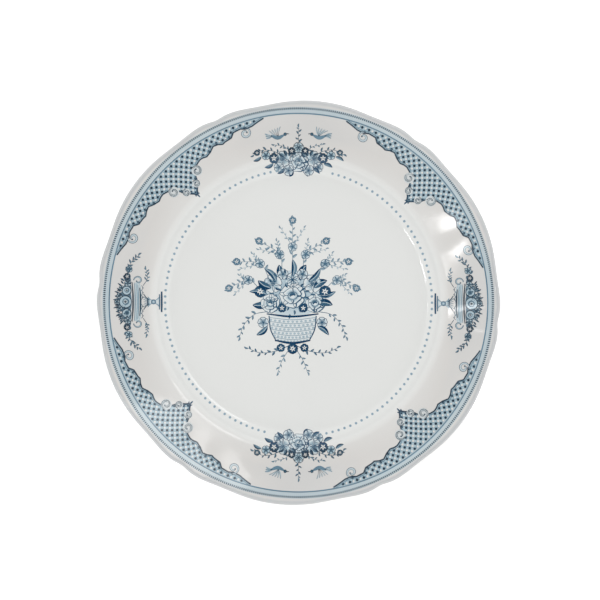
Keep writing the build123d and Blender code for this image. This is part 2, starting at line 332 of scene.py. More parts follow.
def make_biscuit_material():
    m, nt, bsdf = new_mat("biscuit_ware")
    tc = nt.nodes.new("ShaderNodeTexCoord").outputs["Object"]
    ramp = nt.nodes.new("ShaderNodeValToRGB")
    ramp.color_ramp.elements[0].position = 0.35
    ramp.color_ramp.elements[0].color = srgb(196, 188, 172)
    ramp.color_ramp.elements[1].position = 0.65
    ramp.color_ramp.elements[1].color = srgb(222, 215, 200)
    nt.links.new(noise(nt, tc, 160.0, 6.0, 0.65), ramp.inputs["Fac"])
    nt.links.new(ramp.outputs["Color"], bsdf.inputs["Base Color"])
    bsdf.inputs["Roughness"].default_value = 0.85
    bump = nt.nodes.new("ShaderNodeBump")
    bump.inputs["Strength"].default_value = 0.6
    bump.inputs["Distance"].default_value = 0.0002
    nt.links.new(noise(nt, tc, 1400.0, 4.0, 0.6), bump.inputs["Height"])
    nt.links.new(bump.outputs[0], bsdf.inputs["Normal"])
    return m


MAT_GLAZE = make_glaze_material()
MAT_INK = make_ink_material()
MAT_BISCUIT = make_biscuit_material()


# ---------------------------------------------------------------------------
# glaze coat: a closed shell over the fired body, stopping above the foot's resting face
# ---------------------------------------------------------------------------
def spline_rows(pts, step=0.7):
    """Dense points on a chord-length Catmull-Rom curve through rows of values."""
    p = np.asarray(pts, float)
    p = np.vstack([2 * p[0] - p[1], p, 2 * p[-1] - p[-2]])
    out = []
    for i in range(1, len(p) - 2):
        seg = np.linalg.norm(p[i + 1, :2] - p[i, :2])
        n = max(2, int(math.ceil(seg / step)))
        d0 = np.linalg.norm(p[i, :2] - p[i - 1, :2]) + 1e-9
        d1 = seg + 1e-9
        d2 = np.linalg.norm(p[i + 2, :2] - p[i + 1, :2]) + 1e-9
        m1 = d1 * ((p[i] - p[i - 1]) / d0 - (p[i + 1] - p[i - 1]) / (d0 + d1) + (p[i + 1] - p[i]) / d1)
        m2 = d1 * ((p[i + 1] - p[i]) / d1 - (p[i + 2] - p[i]) / (d1 + d2) + (p[i + 2] - p[i + 1]) / d2)
        for j in range(n):
            t = j / n
            out.append((2 * t**3 - 3 * t**2 + 1) * p[i] + (t**3 - 2 * t**2 + t) * m1
                       + (-2 * t**3 + 3 * t**2) * p[i + 1] + (t**3 - t**2) * m2)
    out.append(p[-2])
    return [tuple(v) for v in out]


def arc_rows(c, r, a0, a1, n):
    return [(c[0] + r * sin(a), c[1] - r * cos(a), 0.0) for a in np.linspace(a0, a1, n)]


def outer_rows():
    """(radius, height, lobe weight) down the glazed outside, well centre to the foot's outer wall."""
    rows = [(r, FLOOR_Z, 0.0) for r in (12, 30, 48, 62, 72, 79, 83, FLOOR_R)]
    rows += arc_rows(CAV_C, CAV_R, 0.02, CAV_A, 16)
    rows += [(SH_S[0], SH_S[1], 0.0)]
    rows += [(SH_C[0] - SH_R * sin(a), SH_C[1] + SH_R * cos(a), 0.0)
             for a in np.linspace(CAV_A, RIM_A, 12)[1:]]
    rows += [(r, float(rim_top(r)), 0.0) for r in (101.6, 102.8)]
    lip_r = LIP_T / 2
    nose = LIP_R - lip_r
    lip_z = float(rim_top(LIP_R - 2.0) + rim_under(LIP_R - 2.0)) / 2 + 0.25
    ctrl = [(r, float(rim_top(r)), float(lobe_weight(r)))
            for r in (JOIN_R, 106.5, 109.0, 112.0, 115.0, 118.0, 121.0, 124.0, 127.0, 129.2, 131.2)]
    ctrl += [(nose + lip_r * cos(radians(a)), lip_z + lip_r * sin(radians(a)), 1.0)
             for a in (78, 62, 45, 22, 0, -22, -45, -62, -78)]
    ctrl += [(r, float(rim_under(r)), float(lobe_weight(r)))
             for r in (131.2, 127.0, 121.0, 115.0, 109.0, JOIN_R)]
    dense = spline_rows(ctrl[:11], 1.1)[:-1] + spline_rows(ctrl[10:21], 0.45)[:-1] + spline_rows(ctrl[20:], 3.0)
    rows += dense
    ru = SH_R - WALL
    rows += [(SH_C[0] - ru * sin(a), SH_C[1] + ru * cos(a), 0.0)
             for a in np.linspace(radians(16.5), CAV_A, 7)]
    rc = CAV_R + WALL
    rows += arc_rows(CAV_C, rc, CAV_A, radians(9.5), 12)
    top = FLOOR_Z - FLOOR_T
    rows += [(86.4, top - 0.27, 0.0), (85.2, top - 0.12, 0.0), (84.62, top - 0.05, 0.0),
             (FOOT_OUT + 0.30, top - 0.30, 0.0), (FOOT_OUT + 0.22, top - 0.9, 0.0),
             (FOOT_OUT + 0.14, DRY + 0.12, 0.0), (FOOT_OUT + 0.05, DRY, 0.0)]
    return rows


def recess_rows():
    """The glazed base inside the foot ring, foot's inner wall to the centre."""
    top = FLOOR_Z - FLOOR_T
    rows = [(FOOT_IN - 0.28, DRY, 0.0), (FOOT_IN - 0.36, DRY + 0.12, 0.0), (FOOT_IN - 0.62, 1.75, 0.0)]
    rows += [(75.65 + 1.1 * cos(a), 1.75 + 1.05 * sin(a), 0.0) for a in np.linspace(0.25, pi / 2, 6)]
    rows += [(r, top, 0.0) for r in (74.0, 70.0, 60.0, 45.0, 30.0, 14.0)]
    return rows


def skin_points(rows, th):
    f = edge_offset(th)
    pts = []
    for rho, z, w in rows:
        r = rho + w * f
        zz = np.full_like(th, z)
        pts.append(np.stack([r * np.cos(th), r * np.sin(th), zz], -1))
    return pts


def ring_solid(verts, faces, seq, z_first, z_last):
    """Rings joined in order, a fan to the axis at each end."""
    nt = len(seq[0])
    a = len(verts)
    verts.append((0.0, 0.0, z_first))
    start = len(verts)
    for ring in seq:
        verts.extend(map(tuple, ring))
    b = len(verts)
    verts.append((0.0, 0.0, z_last))
    for j in range(nt):
        faces.append((a, start + j, start + (j + 1) % nt))
    for i in range(len(seq) - 1):
        s = start + i * nt
        for j in range(nt):
            k = (j + 1) % nt
            faces.append((s + j, s + nt + j, s + nt + k, s + k))
    s = start + (len(seq) - 1) * nt
    for j in range(nt):
        faces.append((b, s + (j + 1) % nt, s + j))


def offset_rows(rows, dist, pick):
    """Rows moved sideways off the profile by dist, to its right-hand side."""
    p = np.array([(r, z) for r, z, w in rows])
    t = np.gradient(p, axis=0)
    t /= np.linalg.norm(t, axis=1, keepdims=True) + 1e-12
    n = np.stack([t[:, 1], -t[:, 0]], -1)
    return [(p[i, 0] + n[i, 0] * dist, p[i, 1] + n[i, 1] * dist, rows[i][2]) for i in pick]


def build_glaze():
    NT = 432
    th = np.arange(NT) * 2 * pi / NT
    verts, faces = [], []
    rows = outer_rows()
    pick = [0] + list(range(2, len(rows) - 2, 3)) + [len(rows) - 1]
    # walking outwards over the top, the body lies to the right of the profile
    inner = offset_rows(rows, GLAZE, pick)
    inner[-1] = (inner[-1][0], rows[-1][1], 0.0)
    outer_pts = skin_points(rows, th)
    n_top = next(i for i, (r, z, w) in enumerate(rows) if r > 133.0)
    for i in range(n_top):
        if rows[i][0] > 95:
            o = outer_pts[i]
            o[:, 2] += waves(np.hypot(o[:, 0], o[:, 1]), th)
    seq = outer_pts + skin_points(inner, th)[::-1]
    ring_solid(verts, faces, seq, rows[0][1], inner[0][1])
    rows = recess_rows()
    pick = [0, 2, 5, 9, 11, len(rows) - 1]
    # inside the foot the body lies above
    inner = [(rows[i][0] + (0.28 if k < 2 else 0.0), rows[i][1] + (0.0 if k == 0 else GLAZE), 0.0)
             for k, i in enumerate(pick)]
    seq = (skin_points(rows, th) [::-1]) + skin_points(inner, th)
    ring_solid(verts, faces, seq, rows[-1][1], inner[-1][1])
    me = bpy.data.meshes.new("glaze_coat_visual")
    me.from_pydata([tuple(c * MM for c in v) for v in verts], [], faces)
    me.validate()
    me.update()
    import bmesh
    bm = bmesh.new()
    bm.from_mesh(me)
    bmesh.ops.recalc_face_normals(bm, faces=bm.faces)
    bm.to_mesh(me)
    bm.free()
    p = np.array([v.co[:] for v in me.vertices]) / MM
    rr, th = np.hypot(p[:, 0], p[:, 1]), np.arctan2(p[:, 1], p[:, 0])
    rho = rr - lobe_weight(rr) * edge_offset(th)
    under = p[:, 2] < round_top(np.minimum(rho, 134.0)) - 1.0
    # greyness per corner: a flat 0.28 on the underside, painted shade of the rim and lip elsewhere
    k = np.where(under & (rho < 133.5), 0.28, rim_painted_shade(rho, th))
    att = me.attributes.new("tint_and_painted_shade", "FLOAT", "POINT")
    att.data.foreach_set("value", k.astype(np.float32))
    me.polygons.foreach_set("use_smooth", [True] * len(me.polygons))
    me.materials.append(MAT_GLAZE)
    ob = bpy.data.objects.new("glaze_coat_visual", me)
    bpy.context.scene.collection.objects.link(ob)
    return ob


glaze_obj = build_glaze()
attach(glaze_obj, "root")
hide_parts("glaze_coat")

body = frame["nodes"]["plate_body"]
body.data.materials.clear()
body.data.materials.append(MAT_BISCUIT)


# ---------------------------------------------------------------------------
# drawing tools for the printed colour: thin closed solids that follow the glaze
# ---------------------------------------------------------------------------
BOTTOM = -0.05   # underside of a film, sunk in the glaze
LEVEL = {0: 0.030, 1: 0.042, 2: 0.054, 3: 0.066}


class Print:
    """One printed motif group: strips and dots with a tone at every corner."""

    def __init__(self):
        self.x, self.y, self.h, self.k, self.f = [], [], [], [], []
        self.count = 0

    def _add(self, x, y, h, k):
        s = len(self.x)
        if h > 0:
            # laid one over another, each a hair higher than the one before
            self.count += 1
            h = h + (self.count % 89) * 1.3e-4
        x = np.ravel(x)
        self.x.extend(x)
        self.y.extend(np.ravel(y))
        self.h.extend(np.broadcast_to(h, x.shape))
        self.k.extend(np.clip(np.broadcast_to(np.ravel(k), x.shape), 0, 1))
        return s

    def strip(self, x, y, w, tone, level=1, m=2, closed=False, skew=0.0):
        """A ribbon along x, y of full width w. tone is a number or a function of (u, v)."""
        x = np.asarray(x, float)
        y = np.asarray(y, float)
        n = len(x)
        if n < 2:
            return
        if closed:
            tx = np.roll(x, -1) - np.roll(x, 1)
            ty = np.roll(y, -1) - np.roll(y, 1)
        else:
            tx, ty = np.gradient(x), np.gradient(y)
        L = np.hypot(tx, ty) + 1e-9
        nx, ny = -ty / L, tx / L
        w = np.maximum(np.broadcast_to(w, (n,)), 0.05)
        m = max(m, int(math.ceil(w.max() / 1.1)) + 1)
        v = np.linspace(-1, 1, m)
        u = np.linspace(0, 1, n)
        X = x[:, None] + nx[:, None] * w[:, None] * 0.5 * (v[None, :] + skew)
        Y = y[:, None] + ny[:, None] * w[:, None] * 0.5 * (v[None, :] + skew)
        if callable(tone):
            K = tone(np.repeat(u[:, None], m, 1), np.repeat(v[None, :], n, 0))
        else:
            K = np.full((n, m), float(tone))
        self.grid(X, Y, K, level, closed)

    def grid(self, X, Y, K, level, closed=False):
        """A closed film over a grid of points; rows run along it, columns from right to left."""
        n, m = X.shape
        top = self._add(X, Y, LEVEL[level], K)
        bot = self._add(X, Y, BOTTOM, K)
        for i in range(n if closed else n - 1):
            i2 = (i + 1) % n
            a, b = top + i * m, top + i2 * m
            c, d = bot + i * m, bot + i2 * m
            for j in range(m - 1):
                self.f.append((a + j, b + j, b + j + 1, a + j + 1))
                self.f.append((c + j, c + j + 1, d + j + 1, d + j))
            self.f.append((a, c, d, b))
            self.f.append((b + m - 1, d + m - 1, c + m - 1, a + m - 1))
        if not closed:
            for a, c, turn in ((top, bot, 1), (top + (n - 1) * m, bot + (n - 1) * m, -1)):
                for j in range(m - 1):
                    q = (a + j, a + j + 1, c + j + 1, c + j)
                    self.f.append(q[::turn])

    def fill(self, X, Y, fx, fy, k0, k1, level, pull=None):
        """A closed film over a star-shaped outline: tone k0 at its focus running to k1 at its edge."""
        n = len(X)
        R = float(np.max(np.hypot(X - fx, Y - fy)))
        nr = max(1 if R < 0.95 else 2, int(math.ceil(R / 1.1)))
        ts = np.linspace(0, 1, nr + 1)[1:]
        e = (3 * ts**2 - 2 * ts**3) if pull is None else ts**pull
        xs = np.concatenate([[fx]] + [fx + (X - fx) * t for t in ts])
        ys = np.concatenate([[fy]] + [fy + (Y - fy) * t for t in ts])
        ks = np.concatenate([[k0]] + [np.full(n, k0 + (k1 - k0) * q) for q in e])
        top = self._add(xs, ys, LEVEL[level], ks)
        bot = self._add(xs, ys, BOTTOM, ks)
        for i in range(n):
            j = (i + 1) % n
            self.f.append((top, top + 1 + i, top + 1 + j))
            self.f.append((bot, bot + 1 + j, bot + 1 + i))
            for r in range(nr - 1):
                a, b = 1 + r * n, 1 + (r + 1) * n
                self.f.append((top + a + i, top + b + i, top + b + j, top + a + j))
                self.f.append((bot + a + j, bot + b + j, bot + b + i, bot + a + i))
            a = 1 + (nr - 1) * n
            self.f.append((top + a + i, bot + a + i, bot + a + j, top + a + j))

    def dot(self, cx, cy, r, tone, level=2, n=10, edge=None, ry=None, rot=0.0):
        """A round or oval spot; edge is the tone at its rim."""
        a = np.arange(n) * 2 * pi / n
        ry = r if ry is None else ry
        ox, oy = r * np.cos(a), ry * np.sin(a)
        X = cx + ox * cos(rot) - oy * sin(rot)
        Y = cy + ox * sin(rot) + oy * cos(rot)
        self.fill(X, Y, float(cx), float(cy), tone, tone if edge is None else edge, level)

    def build(self, name, nodes):
        x, y = np.array(self.x), np.array(self.y)
        n = top_normal(x, y)
        z = top_z(x, y)
        h = np.array(self.h)
        co = np.stack([x, y, z], -1) + n * h[:, None]
        me = bpy.data.meshes.new(name)
        me.from_pydata((co * MM).tolist(), [], self.f)
        me.update()
        att = me.attributes.new("ink", "FLOAT", "POINT")
        att.data.foreach_set("value", np.array(self.k, np.float32))
        rr, th = np.hypot(x, y), np.arctan2(y, x)
        rho = rr - lobe_weight(rr) * edge_offset(th)
        # the same painted shade of the rim and lip as the glaze beneath, so the print darkens with it
        att = me.attributes.new("tint_and_painted_shade", "FLOAT", "POINT")
        att.data.foreach_set("value", rim_painted_shade(rho, th).astype(np.float32))
        me.polygons.foreach_set("use_smooth", [True] * len(me.polygons))
        me.normals_split_custom_set_from_vertices(n.tolist())
        me.materials.append(MAT_INK)
        ob = bpy.data.objects.new(name, me)
        bpy.context.scene.collection.objects.link(ob)
        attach(ob, "root")
        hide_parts(*nodes)
        print("print", name, "verts", len(me.vertices), "faces", len(me.polygons))
        return ob


def curve(pts, step=0.9):
    """Dense points on a smooth curve through pts."""
    p = np.asarray(pts, float)
    if len(p) == 2:
        n = max(2, int(math.ceil(np.linalg.norm(p[1] - p[0]) / step)) + 1)
        t = np.linspace(0, 1, n)[:, None]
        q = p[0] * (1 - t) + p[1] * t
        return q[:, 0], q[:, 1]
    p = np.vstack([2 * p[0] - p[1], p, 2 * p[-1] - p[-2]])
    out = []
    for i in range(1, len(p) - 2):
        n = max(2, int(math.ceil(np.linalg.norm(p[i + 1] - p[i]) / step)))
        for j in range(n):
            t = j / n
            out.append(0.5 * ((2 * p[i]) + (-p[i - 1] + p[i + 1]) * t
                              + (2 * p[i - 1] - 5 * p[i] + 4 * p[i + 1] - p[i + 2]) * t * t
                              + (-p[i - 1] + 3 * p[i] - 3 * p[i + 1] + p[i + 2]) * t**3))
    out.append(p[-2])
    q = np.array(out)
    return q[:, 0], q[:, 1]


class Place:
    """Where a motif goes: a point, a turn, a scale, and mirrored or not."""

    def __init__(self, x=0.0, y=0.0, turn=0.0, scale=1.0, flip=False, parent=None):
        self.o, self.s, self.flip, self.parent = (x, y), scale, flip, parent
        self.c, self.n = cos(radians(turn)) * scale, sin(radians(turn)) * scale

    def __call__(self, x, y):
        x = np.asarray(x, float)
        y = np.asarray(y, float)
        if self.flip:
            x = -x
        X = self.o[0] + x * self.c - y * self.n
        Y = self.o[1] + x * self.n + y * self.c
        return self.parent(X, Y) if self.parent else (X, Y)


class Bend:
    """Polar placing: local x runs along the rim (mm at radius ref, anticlockwise), local y is the radius."""

    def __init__(self, middle, flip=False):
        self.m, self.flip = radians(middle), flip

    def __call__(self, a, r):
        """a in degrees off the middle, r the radius."""
        a = np.radians(np.asarray(a, float)) * (-1 if self.flip else 1)
        return np.asarray(r, float) * np.cos(self.m + a), np.asarray(r, float) * np.sin(self.m + a)


IDENT = Place()


def line(P, M, pts, w=0.3, tone=0.8, level=2, taper=(1.0, 1.0), step=0.9):
    """A brush line through pts, its width tapering from taper[0] to taper[1] of w, full in the middle."""
    x, y = curve(pts, step)
    x, y = M(x, y)
    u = np.linspace(0, 1, len(x))
    e0, e1 = taper
    prof = np.minimum(1.0, np.minimum(e0 + (1 - e0) * u * 3, e1 + (1 - e1) * (1 - u) * 3))
    P.strip(x, y, 1.3 * w * prof, tone, level)


def leaf(P, M, base, tip, width, a=0.75, b=0.45, bend=0.15, vein=0.95, level=1, m=5, blunt=0.9):
    """A leaf from base to tip: one side darker than the other, with a midrib."""
    b0, t0 = np.array(base, float), np.array(tip, float)
    d = t0 - b0
    L = np.linalg.norm(d)
    nrm = np.array([-d[1], d[0]])
    mid = (b0 + t0) / 2 + nrm * bend
    x, y = curve([b0, mid, t0], max(0.25, L / 9))
    x, y = M(x, y)
    u = np.linspace(0, 1, len(x))
    w = width * np.sin(pi * np.clip(u, 0, 1) ** blunt) ** 0.75

    def tone(uu, vv):
        k = np.where(vv > 0.05, a, b)
        return np.clip(k + 0.15 * np.abs(vv) - 0.12 * (1 - uu), 0, 1)
    P.strip(x, y, w, tone, level, m)
    if vein and L > 2.0:
        P.strip(x[1:-1], y[1:-1], np.full(len(x) - 2, max(0.16, width * 0.09)), vein, min(3, level + 1))


def petal(P, M, base, ang, L, W, inner=0.6, outer=0.15, edge=0.6, level=1, edge_w=0.22, heavy=None):
    """A rounded petal: shaded at its base, pale at its edge, with a fine outline."""
    pts = petal_outline(base, ang, L, W, 0.03, 0.06)
    f = (base[0] + cos(ang) * L * 0.22, base[1] + sin(ang) * L * 0.22)
    shape(P, M, pts, f, inner, outer, edge, edge_w * 1.5, level, heavy, step=max(0.45, min(0.9, L / 7)))


def sprig(P, M, pts, n=6, size=2.2, tone=0.6, w=0.28, end=True, seed=1, fat=0.42, start=0.25):
    """A stem with small leaves left and right."""
    r = np.random.RandomState(seed)
    x, y = curve(pts, 0.6)
    X, Y = M(x, y)
    u = np.linspace(0, 1, len(x))
    P.strip(X, Y, w * (1.0 - 0.55 * u), tone + 0.1, 1)
    for i in range(n):
        t = start + (1 - start) * (i + 0.5) / n
        k = min(len(x) - 2, int(t * (len(x) - 1)))
        dx, dy = x[k + 1] - x[k], y[k + 1] - y[k]
        a = math.atan2(dy, dx) + (1 if i % 2 else -1) * r.uniform(0.6, 1.05)
        L = size * r.uniform(0.8, 1.2) * (1.1 - 0.35 * t)
        leaf(P, M, (x[k], y[k]), (x[k] + cos(a) * L, y[k] + sin(a) * L), L * fat,
             min(1, tone + r.uniform(0, 0.2)), max(0.1, tone - 0.25), r.uniform(-0.12, 0.12),
             vein=min(1, tone + 0.3), m=3)
    if end:
        a = math.atan2(y[-1] - y[-3], x[-1] - x[-3])
        leaf(P, M, (x[-1], y[-1]), (x[-1] + cos(a) * size, y[-1] + sin(a) * size), size * 0.4, tone, tone * 0.6, m=3)


def star_flower(P, M, c, R, n=5, tone=0.85, light=0.0, core=0.9, rot=0.3, level=1):
    """A flower of n rounded petals with a pale star in its middle."""
    for i in range(n):
        a = rot + 2 * pi * i / n
        petal(P, M, (c[0] + cos(a) * R * 0.12, c[1] + sin(a) * R * 0.12), a, R * 0.9, R * 0.92,
              tone * 0.75, tone, min(1.0, tone + 0.05), level, 0.14)
    for i in range(n):
        a = rot + 2 * pi * i / n
        line(P, M, [(c[0], c[1]), (c[0] + cos(a) * R * 0.55, c[1] + sin(a) * R * 0.55)], R * 0.17, light, 3, (1, 0.3), 0.7)
    P.dot(*M(c[0], c[1]), R * 0.13, core, 3, 8)


def blossom(P, M, c, R, n=5, rot=0.0, shade=0.35, outer=0.04, edge=0.62, squash=1.0, turn=0.0, core=0.7, edge_w=0.24):
    """An open pale flower of n wide petals, outlined."""
    q = Place(c[0], c[1], math.degrees(turn), 1.0, parent=M)

    class Sq:
        def __call__(self, x, y):
            return q(np.asarray(x, float), np.asarray(y, float) * squash)
    S = Sq()
    for i in range(n):
        a = rot + 2 * pi * i / n
        petal(P, S, (cos(a) * R * 0.08, sin(a) * R * 0.08), a, R * 0.95, R * 0.95, shade, outer, edge, 1, edge_w)
    for i in range(7):
        a = rot + 2 * pi * i / 7
        P.dot(*S(cos(a) * R * 0.17, sin(a) * R * 0.17), R * 0.06 + 0.08, core, 3, 6)


def crescent(P, M, c, r, a0, a1, w, inner=0.7, outer=0.1, edge=0.75, level=1, edge_w=0.24, m=5, sq=1.0, tilt=0.0, n=None):
    """A curved petal round a centre, from angle a0 to a1, dark towards the middle."""
    n = n or max(6, int(abs(a1 - a0) * r / 0.7))
    t = np.linspace(a0, a1, n)
    u = np.linspace(0, 1, n)
    ww = w * np.sin(pi * (0.06 + 0.88 * u)) ** 0.7

    def pt(rad):
        px, py = rad * np.cos(t), rad * np.sin(t) * sq
        return c[0] + px * cos(tilt) - py * sin(tilt), c[1] + px * sin(tilt) + py * cos(tilt)
    x, y = M(*pt(r))
    sgn = 1.0 if a1 > a0 else -1.0

    def tone(uu, vv):
        v = (1 + vv * sgn) / 2   # 1 on the inner side
        return outer + (inner - outer) * np.clip(v, 0, 1) ** 1.3
    P.strip(x, y, ww, tone, level, m)
    if edge:
        x, y = M(*pt(r + ww / 2))
        P.strip(x, y, edge_w * np.sin(pi * (0.1 + 0.8 * u)) ** 0.5, edge, min(3, level + 1))


def ring_through(pts, step=0.7):
    """Dense points on a smooth closed curve through pts."""
    p = np.asarray(pts, float)
    n = len(p)
    out = []
    for i in range(n):
        p0, p1, p2, p3 = p[(i - 1) % n], p[i], p[(i + 1) % n], p[(i + 2) % n]
        k = max(2, int(math.ceil(np.linalg.norm(p2 - p1) / step)))
        for j in range(k):
            t = j / k
            out.append(0.5 * ((2 * p1) + (-p0 + p2) * t + (2 * p0 - 5 * p1 + 4 * p2 - p3) * t * t
                              + (-p0 + 3 * p1 - 3 * p2 + p3) * t**3))
    return np.array(out)


def shape(P, M, pts, focus=None, k0=0.3, k1=0.05, edge=0.8, ew=0.42, level=1, heavy=None, step=0.7):
    """A filled outline: tone k0 at its focus running to k1 at its edge, and a brush line round it,
    heavier on the side that heavy (an angle in degrees) points to."""
    q = ring_through(pts, step)
    f = np.array(focus if focus is not None else q.mean(0), float)
    X, Y = M(q[:, 0], q[:, 1])
    fx, fy = M(f[0], f[1])
    fx, fy = float(fx), float(fy)
    if np.sum(X * np.roll(Y, -1) - np.roll(X, -1) * Y) < 0:
        X, Y = X[::-1], Y[::-1]
    n = len(X)
    P.fill(X, Y, fx, fy, k0, k1, level)
    if edge:
        w = np.full(n, ew)
        if heavy is not None:
            ang = np.arctan2(Y - fy, X - fx) - radians(heavy)
            w = ew * (0.75 + 1.1 * np.clip(np.cos(ang), 0, 1) ** 1.5)
        P.strip(X, Y, w, edge, min(3, level + 1), closed=True)


def petal_outline(base, ang, L, W, ruffle=0.0, lean=0.0):
    """Outline of a broad rounded petal standing on base, pointing along ang."""
    c, n = cos(ang), sin(ang)
    loc = [(0.0, 0.10), (0.28, 0.38), (0.62, 0.52), (0.90, 0.36 + ruffle), (0.97 - ruffle, 0.0),
           (0.90, -0.36 - ruffle), (0.62, -0.52), (0.28, -0.38), (0.0, -0.10)]
    return [(base[0] + c * u * L - n * (v * W + lean * u * u * L), base[1] + n * u * L + c * (v * W + lean * u * u * L))
            for u, v in loc]


def rose(P, M, c, R, dark=0.9, light=0.04, tilt=0.0, sq=0.92, seed=3, mid=0.40, edge=0.78):
    """A full rose: two rings of broad petals round a cup with a dark heart."""
    r = np.random.RandomState(seed)
    q = Place(c[0], c[1], math.degrees(tilt), 1.0, parent=M)

    def N(x, y):
        return q(np.asarray(x, float), np.asarray(y, float) * sq)
    ew = 0.30 + 0.018 * R
    off = r.uniform(0, 2 * pi)
    for i in range(6):
        a = off + 2 * pi * i / 6 + r.uniform(-0.12, 0.12)
        b = (cos(a) * R * 0.22, sin(a) * R * 0.22)
        pts = petal_outline(b, a, R * 0.80, R * r.uniform(0.86, 1.0), 0.04, r.uniform(-0.15, 0.15))
        shape(P, N, pts, (b[0] + cos(a) * R * 0.2, b[1] + sin(a) * R * 0.2), mid, light, edge, ew, 1, heavy=-30)
    off += 0.5
    for i in range(4):
        a = off + 2 * pi * i / 4 + r.uniform(-0.15, 0.15)
        b = (cos(a) * R * 0.08, sin(a) * R * 0.08)
        pts = petal_outline(b, a, R * 0.60, R * r.uniform(0.74, 0.86), 0.04, r.uniform(-0.2, 0.2))
        shape(P, N, pts, (b[0] + cos(a) * R * 0.15, b[1] + sin(a) * R * 0.15), mid + 0.15, light, edge + 0.05, ew, 2, heavy=-30)
    t = np.arange(10) * 2 * pi / 10
    shape(P, N, list(zip(0.36 * R * np.cos(t), 0.33 * R * np.sin(t) - 0.02 * R)), (0, -0.12 * R), light, mid, edge + 0.1, ew, 3)
    crescent(P, N, (0, -0.05 * R), 0.20 * R, radians(5), radians(175), 0.26 * R, dark, dark * 0.7, 0, 3)
    crescent(P, N, (0, -0.02 * R), 0.30 * R, radians(190), radians(330), 0.10 * R, dark * 0.8, 0.3, 0, 3)


def scroll(P, M, c, r0, r1, a0, a1, w=1.5, tone=0.28, edge=0.8, eye=True, level=1, n=None, ew=0.26, polar=None):
    """A C-scroll: a tapering spiral band with dark edges and a volute eye."""
    n = n or max(12, int(abs(a1 - a0) * max(r0, r1) / 0.6))
    t = np.linspace(a0, a1, n)
    u = np.linspace(0, 1, n)
    r = r0 + (r1 - r0) * u ** 0.85
    x = c[0] + r * np.cos(t)
    y = c[1] + r * np.sin(t)
    ww = w * (0.35 + 0.65 * np.sin(pi * np.clip(u * 0.9 + 0.05, 0, 1)))
    X, Y = M(x, y)
    P.strip(X, Y, ww, lambda uu, vv: tone * (0.7 + 0.5 * np.abs(vv)), level, 3)
    for s in (-1, 1):
        xs = c[0] + (r + s * ww / 2) * np.cos(t)
        ys = c[1] + (r + s * ww / 2) * np.sin(t)
        X, Y = M(xs, ys)
        P.strip(X, Y, np.full(n, ew * (1.15 if s > 0 else 0.8)), edge * (1.0 if s > 0 else 0.75), min(3, level + 1))
    if eye:
        P.dot(*M(x[-1], y[-1]), max(0.45, w * 0.42), edge, 3, 9)


S = 0.6723


def g(x, y):
    """Layout grid: 0.6723 mm squares, counted from the border's top left corner."""
    return ((x - 298.5) * S, (302.75 - y) * S)


# ---------------------------------------------------------------------------
# border rings
# ---------------------------------------------------------------------------
def ring_line(P, r, w, tone, level=1, n=432, m=2, wob=0.05, seed=0):
    rr = np.random.RandomState(seed)
    t = np.arange(n) * 2 * pi / n
    q = r + wob * np.cos(3 * t + rr.uniform(0, 6)) + wob * 0.6 * np.cos(7 * t + rr.uniform(0, 6))
    P.strip(q * np.cos(t), q * np.sin(t), np.full(n, w), tone, level, m, closed=True)


def build_rings():
    P = Print()
    ring_line(P, 130.75, 2.05, lambda u, v: 0.12 + 0.06 * v, 0, m=4, seed=1)
    n = 596
    for i in range(n):
        t = 2 * pi * i / n
        r = 130.65 + 0.05 * cos(3 * t)
        P.dot(r * cos(t), r * sin(t), 0.86, 1.0, 2, 8, ry=0.40, rot=t, edge=0.92)
    P.build("rim_bead_row", ["rim_bead_print"])
    P = Print()
    ring_line(P, 128.90, 1.90, lambda u, v: 0.10 + 0.02 * v, 0, m=4, seed=4)
    ring_line(P, 127.30, 0.95, lambda u, v: 0.60 - 0.14 * np.abs(v), 1, m=4, seed=2)
    P.build("rim_ring_line", ["rim_line_print"])
    P = Print()
    n = 134
    for i in range(n):
        a = 360.0 * i / n
        if 76.5 <= a <= 98.5 or 256.5 <= a <= 278.5:
            continue
        t = radians(a)
        P.dot(90.6 * cos(t), 90.6 * sin(t), 0.90, 0.50, 2, 12, edge=0.34)
    P.build("well_bead_ring", ["well_bead_print"])


build_rings()

# ---------------------------------------------------------------------------
# lattice cartouches
# ---------------------------------------------------------------------------
# lower edge of half a cartouche: (degrees off its middle, radius)
LOWER = [(0.0, 99.8), (1.3, 102.8), (3.0, 105.4), (3.8, 109.5), (4.7, 112.4), (6.8, 115.8), (8.4, 117.0),
         (9.6, 116.9), (10.9, 116.2), (12.7, 117.6), (14.4, 120.0), (16.0, 119.5), (17.45, 118.3),
         (18.4, 119.0), (20.8, 119.8), (22.0, 122.6), (24.5, 123.3), (26.0, 122.2), (28.2, 122.8),
         (30.2, 124.6), (32.6, 126.6)]
R_TOP = 126.7


def lower_edge(a):
    ks = np.array([p[0] for p in LOWER])
    vs = np.array([p[1] for p in LOWER])
    return np.interp(np.abs(a), ks, vs)


